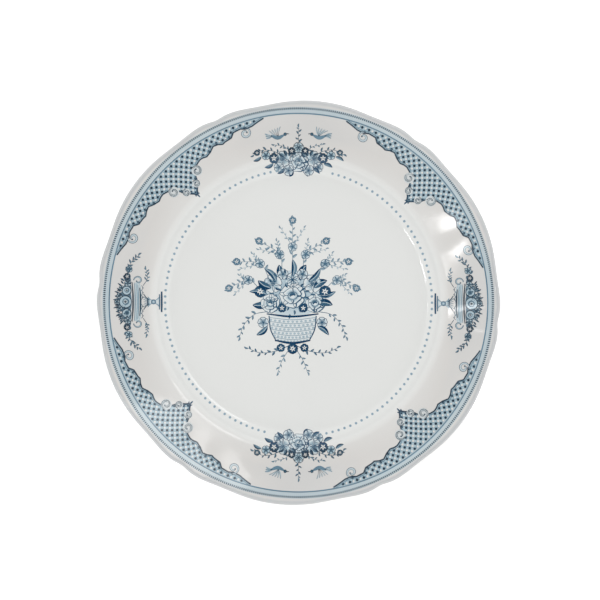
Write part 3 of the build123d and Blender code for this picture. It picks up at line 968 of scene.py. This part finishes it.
def cartouche(P, middle):
    B = Bend(middle)
    # pale wash over the whole field
    a = np.arange(-32.4, 32.41, 0.4)
    lo = lower_edge(a)
    mid = (lo + R_TOP) / 2
    v = np.linspace(1, -1, 26)
    rad = mid[:, None] + (R_TOP - lo)[:, None] * 0.5 * v[None, :]
    ang = np.radians(a)[:, None] + radians(middle)
    P.grid(rad * np.cos(ang), rad * np.sin(ang), np.full(rad.shape, 0.21), 0)
    # lattice: dots on a square grid turned 45 degrees, light eyes between, fine net lines
    pitch = 4.75           # along the rim
    dr = 2.38
    ref = 121.0
    rows_r = [126.7 - 1.15 - dr * i for i in range(12)]
    for i, r in enumerate(rows_r):
        step = math.degrees(pitch / ref)
        off = 0.0 if i % 2 == 0 else 0.5
        for j in range(-18, 19):
            aa = (j + off) * step
            if abs(aa) > 32.5:
                continue
            lo_ = float(lower_edge(aa))
            if r < lo_ + 0.7:
                continue
            x, y = B(aa, r)
            P.dot(float(x), float(y), 0.93, 1.0, 2, 8, edge=1.0)
            # light eye to the side
            ab = aa + step * 0.5
            if abs(ab) < 32.0 and r > float(lower_edge(ab)) + 0.9:
                x, y = B(ab, r)
                P.dot(float(x), float(y), 0.86, 0.0, 1, 8, edge=0.02)
    # net lines between the dots
    step = math.degrees(pitch / ref)
    for j in range(-40, 41):
        for sgn in (-1, 1):
            # a diagonal line: each row down moves half a step along
            aa = np.arange(-2.0, 12.6, 0.25)
            line_a = (j * 0.5 + 0.25 + sgn * 0.5 * aa) * step
            line_r = 126.7 - 1.15 - dr * aa
            ok = (np.abs(line_a) < 32.4) & (line_r < R_TOP - 0.1) & (line_r > lower_edge(line_a) + 0.25)
            if j % 2:
                continue
            idx = np.where(ok)[0]
            if len(idx) < 3:
                continue
            for run in np.split(idx, np.where(np.diff(idx) > 1)[0] + 1):
                if len(run) < 3:
                    continue
                x, y = B(line_a[run], line_r[run])
                P.strip(x, y, np.full(len(run), 0.42), 0.44, 1)


def border_trim(P, middle):
    """Moulding along a cartouche's lower edge with plain C-scrolls, mirrored left and right."""
    for flip in (False, True):
        B = Bend(middle, flip)

        def F(x, y):
            return B(np.degrees(np.asarray(x, float) / 112.0), 112.0 + np.asarray(y, float))

        a_ = np.arange(0.0, 32.5, 0.25)
        lo = lower_edge(a_)
        for off, w, k in ((0.0, 0.95, 0.92), (1.15, 0.40, 0.60)):
            X, Y = B(a_, lo + off)
            P.strip(X, Y, np.full(len(a_), w), k, 2)
        for x0, y0, r0 in ((10.6, 0.4, 3.3), (4.8, -6.0, 2.4)):
            P.dot(*[float(v) for v in F(x0, y0)], r0 * 1.1, 0.04, 3, 18, edge=0.06)
            scroll(P, F, (x0, y0), r0, r0 * 0.35, radians(120), radians(120 - 400), 1.2, 0.10, 0.90, True, 3)
        scroll(P, F, (50.0, 7.6), 3.6, 1.1, radians(80), radians(80 - 430), 1.3, 0.12, 0.85, True, 2)
    F = Bend(middle)
    for d, L in ((-90, 4.0), (-50, 2.6), (-130, 2.6)):
        t = np.linspace(0.4, L, 7)
        x = cos(radians(d)) * t
        X, Y = F(np.degrees(x / 101.0), 101.6 + sin(radians(d)) * t)
        P.strip(X, Y, 1.2 * np.sin(pi * (0.15 + 0.75 * t / L)), 0.8, 2)


for node, middle in (("lattice_print_ne", 43.0), ("lattice_print_nw", 133.0),
                     ("lattice_print_sw", 223.0), ("lattice_print_se", 313.0)):
    P = Print()
    cartouche(P, middle)
    border_trim(P, middle)
    P.build(node.replace("_print", "_cartouche"), [node])


# ---------------------------------------------------------------------------
# bird and nest spray
# ---------------------------------------------------------------------------
def feather(P, M, a, b, w, tone=0.35, edge=0.85, bend=0.12, level=1):
    """A long feather: pale blade, dark spine and edge."""
    a, b = np.array(a, float), np.array(b, float)
    d = b - a
    n = np.array([-d[1], d[0]])
    x, y = curve([a, (a + b) / 2 + n * bend, b], 0.6)
    X, Y = M(x, y)
    u = np.linspace(0, 1, len(x))
    ww = w * np.sin(pi * (0.08 + 0.84 * u)) ** 0.6
    P.strip(X, Y, ww, lambda uu, vv: tone + 0.25 * (vv > 0.4) - 0.15 * (vv < -0.2), level, 4)
    P.strip(X, Y, np.full(len(x), 0.2), edge, min(3, level + 1))


def plain_bird(P, M, s_):
    """A simple bird on the wing, built of feathers; s_ is the side it flies to."""
    x, y = curve([(s_ * 18.6, 112.6), (s_ * 14.0, 111.2), (s_ * 9.8, 113.0)], 0.5)
    X, Y = M(x, y)
    u = np.linspace(0, 1, len(x))
    P.strip(X, Y, 2.5 * np.sin(pi * (0.10 + 0.80 * u)) ** 0.8, 0.55, 2, 4)
    P.dot(*M(s_ * 9.0, 113.6), 1.15, 0.6, 2, 10, edge=0.9)
    line(P, M, [(s_ * 8.0, 113.9), (s_ * 6.4, 113.8)], 0.4, 0.95, 3, (1, 0.3), 0.5)
    for i in range(5):
        feather(P, M, (s_ * 13.6, 112.2), (s_ * (12.2 + 1.9 * i), 118.6 - 0.7 * i), 1.4, 0.08, 0.95, 0.05, 1)
    for i in range(3):
        feather(P, M, (s_ * 17.6, 112.4), (s_ * (22.6 - 0.4 * i), 113.8 - 1.5 * i), 1.4, 0.25, 0.95, 0.05, 1)


def bird_spray(P, M):
    for s_ in (-1, 1):
        plain_bird(P, M, s_)
        sprig(P, M, [(s_ * 8, 97), (s_ * 16, 102), (s_ * 24, 103), (s_ * 30, 100)], 9, 2.9, 0.82, 0.42, True, 31 + s_)
        sprig(P, M, [(s_ * 4, 100), (s_ * 9, 105), (s_ * 16, 106.6)], 6, 2.4, 0.72, 0.38, True, 35 + s_)
        for i in range(5):
            t = radians(8 + 30 * i)
            leaf(P, M, (s_ * (7.0 + 3.0 * cos(t)), 96.0 + 3.0 * sin(t)), (s_ * (7.0 + 8.4 * cos(t)), 96.0 + 7.6 * sin(t)), 2.3, 0.98, 0.6, 0.1 * s_, 0.95, 1, m=4)
        leaf(P, M, (s_ * 9.0, 91.6), (s_ * 14.4, 87.6), 2.4, 0.95, 0.6, 0.1)
        leaf(P, M, (s_ * 3.6, 89.6), (s_ * 6.2, 85.6), 2.0, 0.98, 0.7, 0.1)
        blossom(P, M, (s_ * 6.8, 89.8), 3.6, 5, 0.6, 0.42, 0.03, 0.9)
        blossom(P, M, (s_ * 13.4, 91.8), 3.2, 5, 0.1, 0.42, 0.03, 0.85)
        leaf(P, M, (s_ * 17.0, 94.0), (s_ * 23.0, 91.6), 2.4, 0.95, 0.55, 0.1)
        leaf(P, M, (s_ * 25.0, 98.6), (s_ * 30.6, 95.6), 2.2, 0.9, 0.5, 0.1)
        blossom(P, M, (s_ * 10.4, 97.2), 5.2, 5, 0.3, 0.40, 0.03, 0.9)
        star_flower(P, M, (s_ * 16.6, 97.6), 3.4, 5, 0.95)
        blossom(P, M, (s_ * 22.0, 99.4), 2.8, 5, 0.3, 0.5, 0.05, 0.85)
        star_flower(P, M, (s_ * 4.6, 102.6), 2.4, 5, 1.0)
        star_flower(P, M, (s_ * 28.0, 101.2), 2.0, 5, 0.85)
    sprig(P, M, [(0, 100), (0.4, 106), (0, 112), (0.2, 118)], 8, 2.8, 0.78, 0.42, True, 39)
    rose(P, M, (0.0, 95.4), 6.8, 0.95, 0.03, 0.2, 0.95, 5, 0.38, 0.85)
    blossom(P, M, (0.0, 104.6), 3.6, 6, 0.0, 0.45, 0.04, 0.9)


for node, turn in (("bird_spray_print_top", 0.0), ("bird_spray_print_bottom", 180.0)):
    P = Print()
    bird_spray(P, Place(0, 0, turn) if turn else IDENT)
    P.build(node.replace("_print", ""), [node])


# ---------------------------------------------------------------------------
# flower urn spray: local x along the rim, local y outwards from the plate's middle
# ---------------------------------------------------------------------------
def urn_spray(P, M):
    # plain pedestal: stepped base, waisted stem, one bead
    for yy, half, w, k in ((0.4, 7.0, 1.0, 0.95), (1.8, 5.2, 0.6, 0.75), (9.4, 2.6, 0.6, 0.85)):
        line(P, M, [(-half, yy), (0, yy), (half, yy)], w, k, 2, (0.8, 0.8))
    x, y = curve([(0.0, 1.8), (0.0, 5.4), (0.0, 9.4)], 0.4)
    X, Y = M(x, y)
    wide = 2.2 + 5.6 * np.abs(np.linspace(-1, 1, len(x))) ** 2
    P.strip(X, Y, wide, lambda u, v: 0.08 + 0.55 * np.abs(v) ** 3, 1, 5)
    P.dot(*M(0.0, 5.6), 1.7, 0.10, 3, 12, edge=0.8)
    # stem opening into the bowl
    for i in range(7):
        t = (i - 3) / 3.0
        line(P, M, [(t * 1.3, 8.2), (t * 2.8, 10.4), (t * 5.4, 12.2)], 0.34 if abs(t) < 0.9 else 0.5, 0.55 + 0.3 * (abs(t) > 0.9), 1, (0.7, 0.7))
    # bowl: broad, shallow, ribbed along its length
    X, Y = [], []
    n = 30
    xs = np.linspace(-13.2, 13.2, n)
    sh = np.sqrt(np.clip(1 - (xs / 13.6) ** 2, 0, 1))
    mid = 16.9 - 1.9 * sh * 0.55
    Xc, Yc = M(xs, mid)
    P.strip(Xc, Yc, 4.3 * sh ** 0.5 + 0.5, lambda u, v: 0.13 + 0.08 * np.cos(v * 7.0), 1, 9)
    for yy, w, k, half in ((19.3, 0.80, 1.0, 13.4), (17.9, 0.34, 0.66, 13.0), (16.6, 0.34, 0.50, 12.4),
                           (15.5, 0.34, 0.66, 11.4), (14.3, 0.80, 0.96, 9.6)):
        line(P, M, [(-half, yy + 0.5), (-half * 0.5, yy), (0, yy - 0.15), (half * 0.5, yy), (half, yy + 0.5)], w, k, 2, (0.5, 0.5))
    # swags and drops under the bowl
    for s in (-1, 1):
        for k_ in range(3):
            c = s * (3.0 + 3.2 * k_)
            t = np.linspace(pi, 2 * pi, 9)
            X, Y = M(c + 1.5 * np.cos(t), 14.0 + 1.1 * np.sin(t) - 0.1 * k_)
            P.strip(X, Y, np.full(9, 0.34), 0.7, 2)
            P.dot(*M(c, 12.6), 0.42, 0.85, 3, 7)
        # looped handles
        scroll(P, M, (s * 14.6, 15.8), 2.9, 1.2, radians(90), radians(90 - s * 330), 0.85, 0.25, 0.85, True, 2)
        # laurel twig under the handle
        sprig(P, M, [(s * 11.0, 12.4), (s * 16.0, 9.6), (s * 22.0, 10.4)], 8, 2.4, 0.72, 0.40, True, 70 + s)
    # heap of flowers: a dark mass of leaves, pale heads standing out of it
    for x0, y0, r0, ry0 in ((0.0, 23.6, 9.5, 3.6), (-8.4, 22.8, 5.6, 2.7), (8.4, 22.8, 5.6, 2.7), (0.0, 26.6, 6.6, 2.8), (-14.4, 22.2, 3.0, 1.7), (14.4, 22.2, 3.0, 1.7)):
        P.dot(*M(x0, y0), r0, 0.80, 0, 26, ry=ry0, edge=0.60, rot=pi / 2)
    for x0, y0, r0 in ((0.0, 24.2, 3.8), (7.6, 23.4, 2.7), (-7.6, 23.4, 2.7)):
        P.dot(*M(x0, y0), r0 + 0.5, 0.96, 1, 18, edge=1.0)
        P.dot(*M(x0, y0), r0, 0.04, 2, 18, edge=0.20)
        P.dot(*M(x0 + 0.2, y0 - 0.2), r0 * 0.62, 0.86, 3, 14, edge=0.55)
        P.dot(*M(x0 + 0.2, y0), r0 * 0.40, 0.05, 3, 12, edge=0.12)
        P.dot(*M(x0 + 0.1, y0), r0 * 0.20, 0.98, 3, 9)
    for x0, y0, r0, k0 in ((12.6, 22.6, 2.2, 0.06), (-12.6, 22.6, 2.2, 0.06), (4.2, 28.2, 1.8, 0.06), (-4.2, 28.2, 1.8, 0.06),
                           (9.4, 26.8, 1.6, 0.1), (-9.4, 26.8, 1.6, 0.1), (0.0, 29.8, 1.7, 0.06)):
        blossom(P, M, (x0, y0), r0, 5, x0, 0.42, k0, 1.0)
    for s in (-1, 1):
        star_flower(P, M, (s * 17.2, 23.0), 2.2, 5, 1.0)
    r = np.random.RandomState(77)
    for i in range(58):
        u = r.uniform(-1, 1)
        x0 = u * 17.0
        h = 31.0 - 6.0 * u * u
        y0 = r.uniform(20.4, h - 1.6)
        a = pi / 2 - u * 0.9 + r.uniform(-0.9, 0.9)
        L = r.uniform(1.7, 3.2)
        leaf(P, M, (x0, y0), (x0 + cos(a) * L, y0 + sin(a) * L), L * 0.42, r.uniform(0.8, 1.0), r.uniform(0.35, 0.75),
             r.uniform(-0.2, 0.2), 0.95, 0 if i % 3 else 2, m=4)
    for i in range(14):
        u = (i - 6.5) / 7.0
        a = pi / 2 - u * 1.15
        x0, y0 = u * 15.5, 28.6 - 5.4 * u * u
        L = 3.0 + 0.9 * (i % 2)
        leaf(P, M, (x0, y0), (x0 + cos(a) * L, y0 + sin(a) * L), 1.15, 0.95, 0.6, 0.06 * (-1) ** i, 0.95, 1, m=4)
    for i in range(16):
        u = r.uniform(-1, 1)
        P.dot(*M(u * 16, r.uniform(20.5, 29.5 - 5 * u * u)), 0.6, 0.95, 3, 8, edge=0.8)
    # one curving spray at each end
    for s in (-1, 1):
        sprig(P, M, [(s * 15.0, 22.4), (s * 21.0, 22.6), (s * 27.0, 20.0), (s * 31.0, 15.6)], 11, 3.0, 0.80, 0.44, True, 40 + s)
        blossom(P, M, (s * 22.0, 21.8), 2.2, 5, 0.2, 0.5, 0.06, 0.85)


for node, turn in (("urn_spray_print_left", 90.0), ("urn_spray_print_right", 270.0)):
    P = Print()
    s = 1.0 if turn == 90.0 else -1.0
    base = (-92.4, 0.6)
    urn_spray(P, Place(base[0] * s, base[1] * s, turn))
    P.build(node.replace("_print", ""), [node])


# ---------------------------------------------------------------------------
# flower basket bouquet in the well
# ---------------------------------------------------------------------------
def bouquet(P, M):
    """A plain symmetric flower basket: round heads in a dome over a banded basket."""
    Q = Place(-4.0, 2.0, 0.0, 1.0, parent=M)
    # fan of light sprigs behind the dome
    for i, (deg, L0, L1) in enumerate(((90, 18, 54), (66, 18, 46), (114, 18, 46), (40, 20, 46), (140, 20, 46), (16, 22, 44), (164, 22, 44))):
        t = radians(deg)
        way = 0.0 if deg == 90 else (1 if deg < 90 else -1)
        mid = ((L0 + L1) / 2 * cos(t + 0.14 * way), (L0 + L1) / 2 * sin(t + 0.14 * way))
        end = (L1 * cos(t - 0.10 * way), L1 * sin(t - 0.10 * way))
        sprig(P, Q, [(cos(t) * L0, sin(t) * L0), mid, end], 11, 3.6, 0.56, 0.42, True, 20 + i)
        blossom(P, Q, mid, 3.0, 5, 0.3 * i, 0.4, 0.05, 0.75)
        star_flower(P, Q, end, 2.5, 5, 0.62)
        for d_ in (-0.16, 0.16):
            tip = ((L1 - 5) * cos(t + d_), (L1 - 5) * sin(t + d_))
            sprig(P, Q, [mid, tip], 5, 2.5, 0.44, 0.32, True, 60 + i)
    # broad leaves standing out of the dome, dark and pale by turns
    for i in range(11):
        t = radians(-8 + 19.6 * i)
        r0, r1 = 17.0, 27.5 + 2.5 * (i % 2)
        leaf(P, Q, (cos(t) * r0, sin(t) * r0 * 0.92), (cos(t) * r1, sin(t) * r1 * 0.92), 5.0 - 1.2 * (i % 2), 0.98, 0.55 if i % 2 else 0.75, 0.10 * (-1) ** i, 0.2, 1)
    # dark ground under the flower heads
    P.dot(*Q(0.0, 4.0), 21.0, 0.34, 0, 40, ry=16.0, edge=0.16)
    r = np.random.RandomState(8)
    for i in range(46):
        t = r.uniform(0, 2 * pi)
        q = r.uniform(3.0, 18.5)
        x0, y0 = q * cos(t), 4.0 + q * 0.78 * sin(t)
        leaf(P, Q, (x0, y0), (x0 + 3.4 * cos(t), y0 + 3.4 * sin(t)), 1.5, 0.9, 0.5, 0.1, 0.95, 1, m=4)
    # heads: one large rose, a ring of five, and small ones between
    rose(P, Q, (0.0, 2.8), 8.8, 1.0, 0.02, 0.2, 0.95, 14, 0.26, 0.76)
    for s_ in (-1, 1):
        rose(P, Q, (s_ * 15.2, -2.4), 6.6, 1.0, 0.02, s_ * 0.3, 0.95, 23 + s_, 0.28, 0.78)
        blossom(P, Q, (s_ * 13.4, 10.8), 6.2, 5, 0.4, 0.28, 0.02, 0.80)
        star_flower(P, Q, (s_ * 22.0, 5.6), 4.0, 6, 0.95)
        blossom(P, Q, (s_ * 6.6, 17.4), 3.6, 5, 0.2, 0.40, 0.03, 0.85)
        star_flower(P, Q, (s_ * 7.2, -5.6), 3.0, 5, 1.0)
        P.dot(*Q(s_ * 17.6, 12.6), 1.4, 0.03, 3, 12, edge=0.35)
        P.dot(*Q(s_ * 4.2, 12.6), 1.2, 0.03, 3, 12, edge=0.35)
    blossom(P, Q, (0.0, 13.6), 4.8, 6, 0.0, 0.35, 0.02, 0.85)
    # basket: round banded bowl with rope rim and foot
    ys = np.linspace(-10.0, -27.0, 14)
    half = 16.5 - 5.0 * ((ys + 10.0) / -17.0) ** 2
    u = np.linspace(-1, 1, 30)
    gx = half[:, None] * u[None, :]
    gy = np.repeat(ys[:, None], 30, 1) - 1.6 * (1 - u[None, :] ** 2)
    gx, gy = gx[::-1].T, gy[::-1].T
    X, Y = Q(gx, gy)
    P.grid(X, Y, np.full(X.shape, 0.06), 0)
    for k in range(6):
        yy = -12.0 - 2.7 * k
        hw = 16.5 - 5.0 * ((yy + 10.0) / -17.0) ** 2
        line(P, Q, [(-hw, yy), (0, yy - 1.6), (hw, yy)], 0.30, 0.50, 2, (0.8, 0.8))
        for i in range(11):
            v = -0.9 + 0.18 * i + (0.09 if k % 2 else 0.0)
            if abs(v) < 0.97:
                x0, y0 = hw * v, yy - 1.6 * (1 - v * v)
                P.dot(*Q(x0, y0 - 1.3), 0.80, 0.14, 2, 9, ry=0.70, edge=0.46)
    for yy, hw, w in ((-9.6, 17.6, 1.0), (-27.6, 12.0, 1.2)):
        line(P, Q, [(-hw, yy), (0, yy - 1.8), (hw, yy)], w, 1.0, 3, (0.6, 0.6))
    line(P, Q, [(-16.0, -11.0), (-15.0, -20.0), (-11.6, -27.2)], 0.6, 0.9, 2)
    line(P, Q, [(16.0, -11.0), (15.0, -20.0), (11.6, -27.2)], 0.6, 0.9, 2)
    # sprays falling at both sides and crossed below
    for s_ in (-1, 1):
        sprig(P, Q, [(s_ * 17, -8), (s_ * 26, -10), (s_ * 33, -17), (s_ * 36, -25)], 9, 3.2, 0.66, 0.42, True, 40 + s_)
        sprig(P, Q, [(s_ * 2, -31), (s_ * 12, -35), (s_ * 22, -36), (s_ * 30, -33)], 9, 3.2, 0.80, 0.46, True, 44 + s_)
        sprig(P, Q, [(s_ * 2, -33), (s_ * 7, -41), (s_ * 10, -49)], 6, 2.9, 0.60, 0.40, True, 48 + s_)
        blossom(P, Q, (s_ * 20.0, -15.4), 3.6, 5, 0.3, 0.4, 0.03, 0.85)
        leaf(P, Q, (s_ * 17.0, -18.0), (s_ * 24.6, -24.0), 3.6, 0.98, 0.65, 0.1, 0.2)
        star_flower(P, Q, (s_ * 8.0, -32.6), 2.8, 5, 0.95)
    star_flower(P, Q, (0.0, -33.2), 3.6, 6, 1.0)


P = Print()
bouquet(P, IDENT)
P.build("well_bouquet", ["bouquet_print"])


# ---------------------------------------------------------------------------
# floor, light, camera
# ---------------------------------------------------------------------------
def build_floor():
    me = bpy.data.meshes.new("floor")
    s = 6.0
    me.from_pydata([(-s, -s, 0), (s, -s, 0), (s, s, 0), (-s, s, 0)], [], [(0, 1, 2, 3)])
    ob = bpy.data.objects.new("floor", me)
    bpy.context.scene.collection.objects.link(ob)
    m, nt, bsdf = new_mat("floor_white")
    bsdf.inputs["Base Color"].default_value = (0.98, 0.98, 0.98, 1)
    bsdf.inputs["Roughness"].default_value = 0.9
    bsdf.inputs["Specular IOR Level"].default_value = 0.1
    bsdf.inputs["Emission Color"].default_value = (1, 1, 1, 1)
    bsdf.inputs["Emission Strength"].default_value = 0.20
    me.materials.append(m)
    ob.location.z = -0.00002


build_floor()

scene = bpy.context.scene
world = bpy.data.worlds.new("studio")
world.use_nodes = True
wn = world.node_tree
bg = wn.nodes["Background"]
bg.inputs[0].default_value = (1.0, 1.0, 1.0, 1)
# the studio is dark straight above, round the camera, and evenly bright further out
coord = wn.nodes.new("ShaderNodeTexCoord")
split = wn.nodes.new("ShaderNodeSeparateXYZ")
wn.links.new(coord.outputs["Generated"], split.inputs[0])
up = wn.nodes.new("ShaderNodeMapRange")
up.interpolation_type = "SMOOTHSTEP"
up.inputs["From Min"].default_value = 0.955
up.inputs["From Max"].default_value = 0.875
up.inputs["To Min"].default_value = 0.12
up.inputs["To Max"].default_value = 1.18
wn.links.new(split.outputs["Z"], up.inputs["Value"])
wn.links.new(up.outputs[0], bg.inputs[1])
scene.world = world


def area(name, az, tilt, dist, wide, deep, radiance):
    """Soft light: az the side it stands on, tilt its angle off straight up, both in degrees;
    wide runs round the plate, deep towards it; radiance sets how bright its mirror image is."""
    L = bpy.data.lights.new(name, "AREA")
    L.shape = "RECTANGLE"
    L.size = wide
    L.size_y = deep
    L.energy = radiance * wide * deep * pi
    ob = bpy.data.objects.new(name, L)
    a, t = radians(az), radians(tilt)
    z = Vector((sin(t) * cos(a), sin(t) * sin(a), cos(t)))
    x = Vector((-sin(a), cos(a), 0))
    y = z.cross(x)
    ob.matrix_world = Matrix((x, y, z)).transposed().to_4x4()
    ob.location = z * dist
    scene.collection.objects.link(ob)
    return ob


area("strip_a", 210.5, 19.8, 2.4, 0.12, 0.16, 18.0)
area("strip_b", 194.5, 19.95, 2.4, 0.13, 0.16, 20.0)
area("strip_c", 177.0, 21.35, 2.4, 0.050, 0.06, 28.0)
area("back_right", 50, 28, 2.4, 0.7, 0.5, 3.0)

cam = bpy.data.cameras.new("cam")
cam.type = "PERSP"
cam.lens = 135.0
cam.sensor_width = 36.0
cam.clip_start = 0.05
cam.clip_end = 50.0
co = bpy.data.objects.new("cam", cam)
FIELD = 0.4034
D = FIELD / 36.0 * 135.0
co.location = (0.00101, 0.00185, 0.022 + D)
co.rotation_euler = (0, 0, 0)
scene.collection.objects.link(co)
scene.camera = co

scene.view_settings.view_transform = "Standard"
scene.view_settings.look = "None"
scene.view_settings.exposure = 0.0
scene.view_settings.gamma = 1.0

import json
